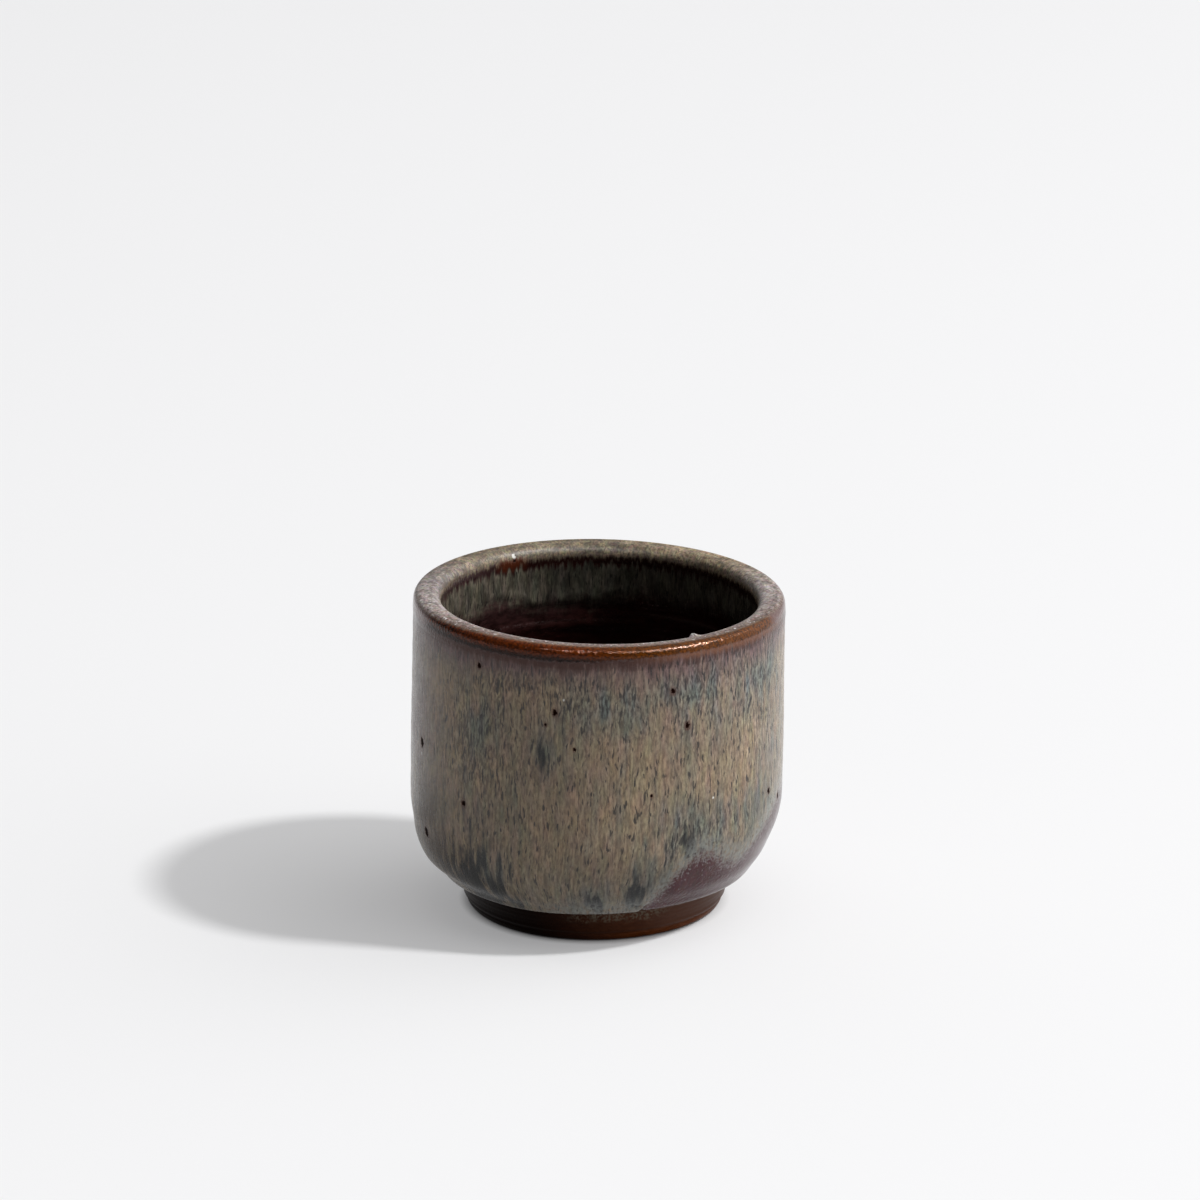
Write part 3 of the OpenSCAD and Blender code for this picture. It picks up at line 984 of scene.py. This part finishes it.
class Skin:
    """The fired surface on a board, by its place on the cup and its gap to the overglaze's lower edge."""

    def __init__(self, board, place, gap):
        self.board = board
        self.place = place
        self.gap = gap
        self.turn, self.flow = board.parts(place)
        self.streak = board.noise(place, (0.8, 0.8, 4.5), detail=3.0)
        self.lace = board.noise(place, 0.9, detail=4.0, roughness=0.65)
        self.ragged_flow = board.shift(self.flow, self.streak, 6.0)
        self.crown_flow = board.shift(self.flow, self.lace, 1.4)
        self.inner_flow = board.shift(board.shift(self.flow, self.streak, 3.5), self.lace, 1.5)
        self.ragged_gap = board.shift(board.shift(gap, self.lace, 5.0), self.streak, 3.0)
        self.inside = board.ease(self.flow, *INSIDE_START)
        self.lay_coats()
        self.colour = self.show()

    def side(self, where):
        """1 on a named side of the cup."""
        return self.board.about(self.turn, *where)

    def spread(self, zones, ragged=0.5):
        """All zones of a list as one mask."""
        total = 0.0
        for turn, flow, half_width, half_height in zones:
            mask = self.board.use(
                ZONE, Place=self.place, Turn=float(turn), Flow=flow,
                Half_Width=float(half_width), Half_Height=float(half_height), Ragged=ragged,
            )["Mask"]
            total = self.board.math("ADD", mask, total, clamp=True)
        return total

    def dots(self, marks, names):
        """The named outputs of a list of specks, each as one mask."""
        masks = [0.0] * len(names)
        for turn, flow, radius, tail in marks:
            mark = self.board.use(
                SPECK, Place=self.place, Turn=float(turn), Flow=flow, Radius=radius, Tail=tail
            )
            masks = [self.board.math("MAXIMUM", mark[name], mask) for name, mask in zip(names, masks)]
        return masks

    def lay_coats(self):
        """Where the overglaze lies: on the crown of the rim and, ragged, on the wall and inside."""
        board = self.board
        lifted = board.both(board.ease(self.turn, -18.0, 25.0, 0.0, 1.2), self.side(RIGHT_FRONT))
        self.edge_flow = board.math("ADD", self.crown_flow, lifted)
        start_flow = board.math("MULTIPLY_ADD", lifted, 1.3, self.ragged_flow)
        off_right = board.math("ABSOLUTE", board.math("SUBTRACT", self.turn, 15.0))
        limit = board.ease(off_right, 20.0, 90.0, 0.7, 2.2)
        crown_outer = board.ease(board.math("SUBTRACT", self.crown_flow, limit), 0.5, -0.5)
        self.crown = board.both(board.ease(self.inner_flow, *CROWN_START), crown_outer)
        outside, band = board.ease(start_flow, *WALL_START), board.ease(self.ragged_flow, *BAND_START)
        wall = board.both(board.math("MAXIMUM", outside, band), board.ease(self.ragged_gap, *RUN_START))
        self.cover = board.math("MAXIMUM", self.crown, wall)

    def show_iron(self):
        """The iron glaze: amber on the rim's outer edge, dull under it, dark on its inner edge."""
        board, flow = self.board, self.flow
        amber = board.math("MAXIMUM", self.side(AMBER_FRONT), self.side(AMBER_BACK))
        outer_edge = board.both(board.ease(flow, *AMBER_START), board.ease(self.edge_flow, *AMBER_END))
        self.thin = board.both(outer_edge, amber)
        self.iron = board.use(
            IRON_GLAZE, Place=self.place, Thin=self.thin, Inside=self.inside,
            Golden=self.side(GOLDEN_SIDE),
            Crystals=board.ease(self.gap, -5.5, 0.5, 0.12, 0.68),
            Pits=board.math("MULTIPLY_ADD", self.side(PITTED_SIDE), 0.45, 0.14),
        )
        colour = board.lay(self.iron["Colour"], BARE_EDGE, outer_edge, board.beside(amber))
        blush = board.both(board.ease(self.edge_flow, *BLUSH_END), self.side(BLUSH_SIDE))
        colour = board.lay(
            colour, board.mix(blush, DULL_EDGE, BLUSH),
            board.ease(self.edge_flow, *DULL_START), board.ease(flow, *DULL_END),
        )
        return board.lay(
            colour, board.mix(self.side(LIT_BREAK_SIDE), BREAK_DARK, BREAK_LIT),
            board.ease(flow, *BREAK_START), board.ease(self.ragged_flow, *BREAK_END),
            board.fade_to(self.side(FADED_BREAK_SIDE), 0.3),
        )

    def show_wall(self):
        """The overglaze on the wall: warm, cool, mauve and dark zones, lively where it is dashed most, with
        painted shade on its lower left.
        """
        board = self.board
        soft = board.noise(self.place, (8.0, 8.0, 12.0), detail=3.0)
        veil = board.noise(self.place, (2.4, 2.4, 13.0), detail=3.0)
        warm = board.both(self.spread(WARM_ZONES), 0.6)
        warm = board.math("ADD", board.ease(soft, 0.4, 0.75, 0.0, 0.5), warm, clamp=True)
        cool = board.both(self.spread(COOL_ZONES), 0.75)
        cool = board.math("ADD", board.ease(veil, 0.5, 0.75, 0.0, 0.5), cool, clamp=True)
        cool = board.math("MAXIMUM", cool, board.both(self.inside, 0.45))
        mauve = board.both(board.ease(self.ragged_flow, *MAUVE_END), board.ease(self.flow, *MAUVE_START))
        mauve = board.math("ADD", mauve, board.both(self.spread(MAUVE_ZONES), 0.8), clamp=True)
        dark = board.math("MULTIPLY", self.spread(DARK_ZONES, 0.8), 2.0, clamp=True)
        # Iron struck through the overglaze, and on the lower left partly painted shade
        struck_and_shade = board.both(dark, board.ease(self.streak, 0.3, 0.6, 0.65, 1.0))
        lively = board.math("MULTIPLY_ADD", self.spread(LIVELY_ZONES), 0.52, 0.5)
        dense = board.math("MULTIPLY_ADD", lively, 0.25, 0.17)
        dense = board.math("MULTIPLY_ADD", struck_and_shade, 0.12, dense)
        self.pale = board.use(
            OVERGLAZE, Place=self.place, Warm=warm, Cool=cool, Mauve=mauve,
            Dense=dense, Lively=lively, Struck=struck_and_shade,
        )
        # Painted shade darkens the lower left of the wall, warm brown here and near black below
        colour = board.lay(self.pale["Colour"], WARM_PAINTED_SHADE, self.spread(WARM_SHADE_ZONES), 0.8)
        # Near black at the lower left: partly the glaze's dark patch, partly painted shade
        colour = board.lay(colour, DARK_PATCH_AND_SHADE, self.spread(DARK_PATCH_AND_SHADE_ZONES), 0.9)
        return board.tone(colour, board.mix(self.spread(GREY_ZONES), WHITE, GREY_TINT))

    def show_crown(self):
        """The overglaze on the crown of the rim, with painted shade darkening its back left."""
        board, flow = self.board, self.flow
        brown = board.ease(board.shift(flow, self.lace, 2.4), *BROWN_START)
        self.frost = board.use(
            RIM_FROST, Place=self.place,
            Olive=board.math("MAXIMUM", self.side(CROWN_BACK), board.ease(flow, *OLIVE_START)),
            Brown=board.both(brown, self.side(CROWN_BROWN_SIDE)),
            Frost=board.both(board.ease(flow, *FROST_START), self.side(CROWN_FRONT)),
        )
        # Painted shade darkens the back left of the crown
        return board.tone(self.frost["Colour"], board.fade_to(self.side(CROWN_SHADE_SIDE), 0.68))

    def show_overglaze(self, off_left):
        """The whole overglaze: shaded where it hangs inside, with a pale fringe at its lower edge."""
        board = self.board
        over = board.mix(self.crown, self.show_wall(), self.show_crown())
        shade = board.ease(self.side(LIT_BAND_SIDE), 0.0, 1.0, 0.74, 0.52)
        over = board.lay(over, BAND_SHADE, self.inside, shade)
        hanging = board.ease(board.noise(self.place, (2.2, 2.2, 4.0), detail=3.0), 0.35, 0.65, 0.6, 1.35)
        over = board.tone(over, board.mix(self.inside, WHITE, hanging))
        lacy = board.ease(board.noise(self.place, 0.9, detail=3.0), 0.3, 0.6)
        fringe = board.both(board.ease(self.ragged_gap, *FRINGE_END), board.ease(self.flow, *FRINGE_START))
        return board.lay(over, FRINGE_PALE, fringe, lacy, off_left, 0.72)

    def show_marks(self, colour):
        """Iron specks, which have bled, and white dots painted as highlights on pinholes."""
        board = self.board
        self.heads, halos, bleeds = self.dots([*SPECKS, RIM_SPECK], ("Head", "Halo", "Bleed"))
        colour = board.lay(colour, BLED, bleeds, 0.6)
        colour = board.lay(colour, HALO, halos, 0.55)
        colour = board.lay(colour, IRON_BLACK, self.heads)
        # White dots painted as highlights on pinholes
        (painted_glints,) = self.dots([*PAINTED_GLINTS, PAINTED_RIM_GLINT], ("Head",))
        return board.lay(colour, PAINTED_GLINT, painted_glints)

    def show(self):
        """The colour of the whole surface."""
        board = self.board
        off_left = board.fade_to(self.side(LOWER_LEFT), 0.15)
        colour = board.mix(self.cover, self.show_iron(), self.show_overglaze(off_left))
        red = board.both(board.ease(self.inner_flow, *RED_START), board.ease(self.inner_flow, *RED_END))
        colour = board.lay(colour, RED_BREAK, red, self.side(RED_BREAK_SIDE), 0.85)
        # A pale line painted as a highlight on the bead just above the lip, faded on the lower left
        lip = board.both(board.ease(self.flow, *LIP_HIGHLIGHT_START), board.ease(self.flow, *LIP_HIGHLIGHT_END))
        colour = board.lay(colour, LIP_PAINTED_HIGHLIGHT, lip, off_left, 0.42)
        return self.show_marks(colour)

    def roughness(self):
        """Gloss of the iron glaze, satin under the overglaze and duller on the crown."""
        board = self.board
        satin = board.both(self.cover, board.beside(self.inside), 0.14)
        matt = board.math("MULTIPLY_ADD", self.crown, 0.22, satin)
        return board.math("MAXIMUM", board.math("ADD", matt, self.iron["Roughness"]), self.heads)

    def lustre(self):
        """The metal in the bare iron glaze and in the specks."""
        board = self.board
        bare = board.both(board.beside(self.cover), board.math("MULTIPLY_ADD", self.thin, -0.15, 0.35))
        return board.math("MAXIMUM", bare, self.heads)

    def relief(self):
        """Fine relief of each coat, with the specks sunk in."""
        board = self.board
        over = board.mix(self.crown, self.pale["Height"], self.frost["Height"])
        relief = board.mix(self.cover, self.iron["Height"], over)
        return board.math("MULTIPLY_ADD", self.heads, -1.5, relief)


def make_skin():
    """The whole fired surface."""
    board, given, result = effect(
        "fired_skin",
        {"Place": None, "Edge Gap": 5.0},
        {"Colour": COLOUR, "Roughness": NUMBER, "Metallic": NUMBER, "Height": NUMBER},
    )
    skin = Skin(board, given["Place"], given["Edge Gap"])
    board.feed(result["Colour"], skin.colour)
    board.feed(result["Roughness"], skin.roughness())
    board.feed(result["Metallic"], skin.lustre())
    board.feed(result["Height"], skin.relief())
    return board.tree


FIRED_SKIN = make_skin()


def clear_board(owner):
    """An empty board for a material or a world."""
    owner.use_nodes = True
    owner.node_tree.nodes.clear()
    return Board(owner.node_tree)


def finish(name, piece):
    """A new material on a piece: its board and its shader."""
    material = bpy.data.materials.new(name)
    board = clear_board(material)
    shader = board.node("ShaderNodeBsdfPrincipled")
    board.node("ShaderNodeOutputMaterial", {"Surface": shader.outputs[0]})
    piece.data.materials.clear()
    piece.data.materials.append(material)
    return board, shader


def glaze_finish(name, piece, relief, ior):
    """A fired glaze: the shared skin, with its own depth of relief in millimetres and its own gloss."""
    board, shader = finish(name, piece)
    place = board.node("ShaderNodeAttribute", attribute_name="glaze_place").outputs["Vector"]
    gap = board.node("ShaderNodeAttribute", attribute_name="edge_gap").outputs["Fac"]
    skin = board.use(FIRED_SKIN, Place=place, Edge_Gap=gap)
    board.feed(shader.inputs["Base Color"], skin["Colour"])
    board.feed(shader.inputs["Roughness"], skin["Roughness"])
    board.feed(shader.inputs["Metallic"], skin["Metallic"])
    board.emboss(shader, skin["Height"], relief)
    shader.inputs["IOR"].default_value = ior


glaze_finish("overglaze_on_wall", outer_pale, relief=0.05, ior=1.4)
glaze_finish("overglaze_on_rim", rim_pale, relief=0.05, ior=1.45)
glaze_finish("overglaze_inside", inner_pale, relief=0.05, ior=1.4)
glaze_finish("iron_glaze_outside", outer_iron, relief=0.12, ior=1.32)
glaze_finish("iron_glaze_inside", liner, relief=0.05, ior=1.4)


def wash_finish(piece):
    """Iron wash on the foot: brown, frosted under the glaze, amber and glossy at the rounded edge, with
    painted shade darkening its left side.
    """
    board, shader = finish("iron_wash_on_foot", piece)
    place = board.node("ShaderNodeAttribute", attribute_name="glaze_place").outputs["Vector"]
    coordinate = board.node("ShaderNodeTexCoord").outputs["Object"]
    raised = board.node("ShaderNodeSeparateXYZ", {"Vector": coordinate}).outputs["Z"]
    height = board.math("MULTIPLY", raised, PER_METRE)
    turn, _ = board.parts(place)
    mottle = board.noise(place, (2.6, 2.6, 0.9), detail=4.0)
    colour = board.mix(mottle, WASH_DEEP, WASH_PALE)
    # Painted shade darkens the left side of the foot
    colour = board.lay(colour, WASH_PAINTED_SHADE, board.about(turn, *FOOT_SHADE_SIDE))
    colour = board.lay(colour, WASH_PLUM, board.about(turn, *FOOT_PLUM_SIDE), 0.7)
    lacy = board.ease(board.noise(place, 0.6, detail=4.0), 0.4, 0.66)
    under_glaze = board.ease(board.shift(height, mottle, 3.0), 4.0, 5.8)
    colour = board.lay(colour, WASH_FROST, under_glaze, lacy, board.about(turn, *FOOT_FROST_SIDE), 0.7)
    bright = board.math("MAXIMUM", board.about(turn, *FOOT_AMBER_FRONT), board.about(turn, *FOOT_AMBER_BACK))
    amber = board.both(board.ease(board.shift(height, mottle, 1.5), 2.4, 0.8), bright)
    colour = board.lay(colour, board.mix(mottle, WASH_AMBER_DEEP, WASH_AMBER_PALE), amber)
    board.feed(shader.inputs["Base Color"], colour)
    board.feed(shader.inputs["Roughness"], board.ease(amber, 0.0, 1.0, 0.34, 0.16))
    shader.inputs["IOR"].default_value = 1.3
    shader.inputs["Specular IOR Level"].default_value = 0.05
    shader.inputs["Metallic"].default_value = 0.1
    board.emboss(shader, board.noise(place, 0.6, detail=3.0), 0.06)


def clay_finish(name, piece):
    """Bare fired stoneware: grogged, warm grey-brown, with turning lines."""
    board, shader = finish(name, piece)
    coordinate = board.node("ShaderNodeTexCoord").outputs["Object"]
    place = board.vector("MULTIPLY", coordinate, (PER_METRE,) * 3)
    colour = board.mix(board.noise(place, 5.0, detail=4.0), CLAY_DEEP, CLAY_PALE)
    grog = board.noise(place, 0.5, detail=2.0)
    colour = board.lay(colour, GROG_DARK, board.ease(grog, 0.6, 0.7, 0.0, 0.7))
    colour = board.lay(colour, GROG_PALE, board.ease(grog, 0.38, 0.3, 0.0, 0.5))
    board.feed(shader.inputs["Base Color"], colour)
    shader.inputs["Roughness"].default_value = 0.85
    board.emboss(shader, board.noise(place, 0.35, detail=3.0), 0.08)


wash_finish(foot_wash)
clay_finish("stoneware_body", body)
clay_finish("stoneware_foot", ring)

# Stage: a plain pale floor, a soft key from the right and a soft room

FLOOR_SIZE = 12.0
CONTACT_REACH = 0.002
bpy.ops.object.select_all(action="DESELECT")
bpy.ops.mesh.primitive_plane_add(size=FLOOR_SIZE)
floor = bpy.context.object
floor.name = "pale_floor"


def floor_finish(shade, glow, bounced):
    """A white floor that keeps the cup's shadow. It throws less light back on the cup than it shows."""
    material = bpy.data.materials.new("pale_floor")
    board = clear_board(material)
    ray = board.node("ShaderNodeLightPath").outputs
    seen = board.math("MAXIMUM", ray["Is Camera Ray"], ray["Is Glossy Ray"])
    diffuse = board.node("ShaderNodeBsdfDiffuse", {"Color": board.mix(seen, bounced, shade)})
    contact = board.node("ShaderNodeAmbientOcclusion", {"Distance": CONTACT_REACH}, samples=8)
    strength = board.both(seen, contact.outputs["AO"])
    light = board.node("ShaderNodeEmission", {"Color": glow, "Strength": strength})
    both = board.node("ShaderNodeAddShader")
    board.feed(both.inputs[0], diffuse.outputs[0])
    board.feed(both.inputs[1], light.outputs[0])
    board.node("ShaderNodeOutputMaterial", {"Surface": both.outputs[0]})
    floor.data.materials.append(material)


floor_finish(shade=(0.56, 0.56, 0.564, 1.0), glow=(0.29, 0.29, 0.294, 1.0), bounced=(0.4, 0.4, 0.4, 1.0))

CUP_MIDDLE = (0, 0, CUP_HEIGHT / 2 * MM)


def towards(turn, rise):
    """A direction by its turn from the front and its rise."""
    turn, rise = math.radians(turn), math.radians(rise)
    return (math.sin(turn) * math.cos(rise), -math.cos(turn) * math.cos(rise), math.sin(rise))


def hang(name, kind, turn, rise, distance):
    """A lamp that looks at the cup, by its turn from the front, its rise and its distance in metres."""
    lamp = bpy.data.objects.new(name, bpy.data.lights.new(name, kind))
    bpy.context.scene.collection.objects.link(lamp)
    away = towards(turn, rise)
    lamp.location = [middle + distance * step for middle, step in zip(CUP_MIDDLE, away)]
    lamp.rotation_euler = (math.radians(90 - rise), 0, math.radians(turn))
    return lamp


def add_key(turn, rise, distance, width, strength):
    """A soft key, by its width in degrees and its strength on the cup."""
    lamp = hang("soft_key", "POINT", turn, rise, distance).data
    lamp.shadow_soft_size = distance * math.tan(math.radians(width / 2))
    lamp.energy = strength * 4 * math.pi * distance**2


def add_bar(name, turn, rise, distance, length, width, power):
    """A long light bar that shows only in the gloss."""
    bar = hang(name, "AREA", turn, rise, distance)
    bar.data.shape = "RECTANGLE"
    bar.data.size = length
    bar.data.size_y = width
    bar.data.energy = power
    bar.visible_diffuse = False


add_key(turn=77.5, rise=50, distance=3.4, width=5.2, strength=2.45)
add_bar("right_bar", turn=64, rise=50, distance=1.2, length=1.5, width=0.025, power=6.0)
add_bar("front_bar", turn=6, rise=54, distance=1.2, length=1.2, width=0.02, power=9.0)


def room_light(plain, lights, shown):
    """Light of the room: weak all round, with lights by their turn, rise, two cosines and strength."""
    world = bpy.data.worlds.new("soft_room")
    bpy.context.scene.world = world
    board = clear_board(world)
    way = board.node("ShaderNodeTexCoord").outputs["Generated"]
    level = plain
    for turn, rise, start, stop, strength in lights:
        facing = board.node("ShaderNodeVectorMath", operation="DOT_PRODUCT")
        board.feed(facing.inputs[0], way)
        board.feed(facing.inputs[1], towards(turn, rise))
        level = board.math("ADD", level, board.ease(facing.outputs["Value"], start, stop, 0.0, strength))
    level = board.mix(board.node("ShaderNodeLightPath").outputs["Is Camera Ray"], level, shown)
    back = board.node("ShaderNodeBackground", {"Color": level})
    board.node("ShaderNodeOutputWorld", {"Surface": back.outputs[0]})


WINDOW = (95, 25, 0.5, 0.95, 1.2)
BACK_WALL = (180, 35, 0.3, 0.9, 0.35)
OVERHEAD = (20, 74, 0.95, 0.985, 0.7)
room_light(plain=0.12, lights=(WINDOW, BACK_WALL, OVERHEAD), shown=(0.9, 0.9, 0.9, 1.0))

# Camera at the photograph's place

SENSOR_WIDTH = 36.0
FOCAL_LENGTH = 207.24
CAMERA_PLACE = (0.00068, -1.335, 0.4893)
CAMERA_DIP = 17.67

lens = bpy.data.cameras.new("camera")
lens.sensor_width = SENSOR_WIDTH
lens.lens = FOCAL_LENGTH
camera = bpy.data.objects.new("camera", lens)
bpy.context.scene.collection.objects.link(camera)
camera.location = CAMERA_PLACE
camera.rotation_euler = (math.radians(90 - CAMERA_DIP), 0, 0)
bpy.context.scene.camera = camera
bpy.context.scene.view_settings.view_transform = "Standard"
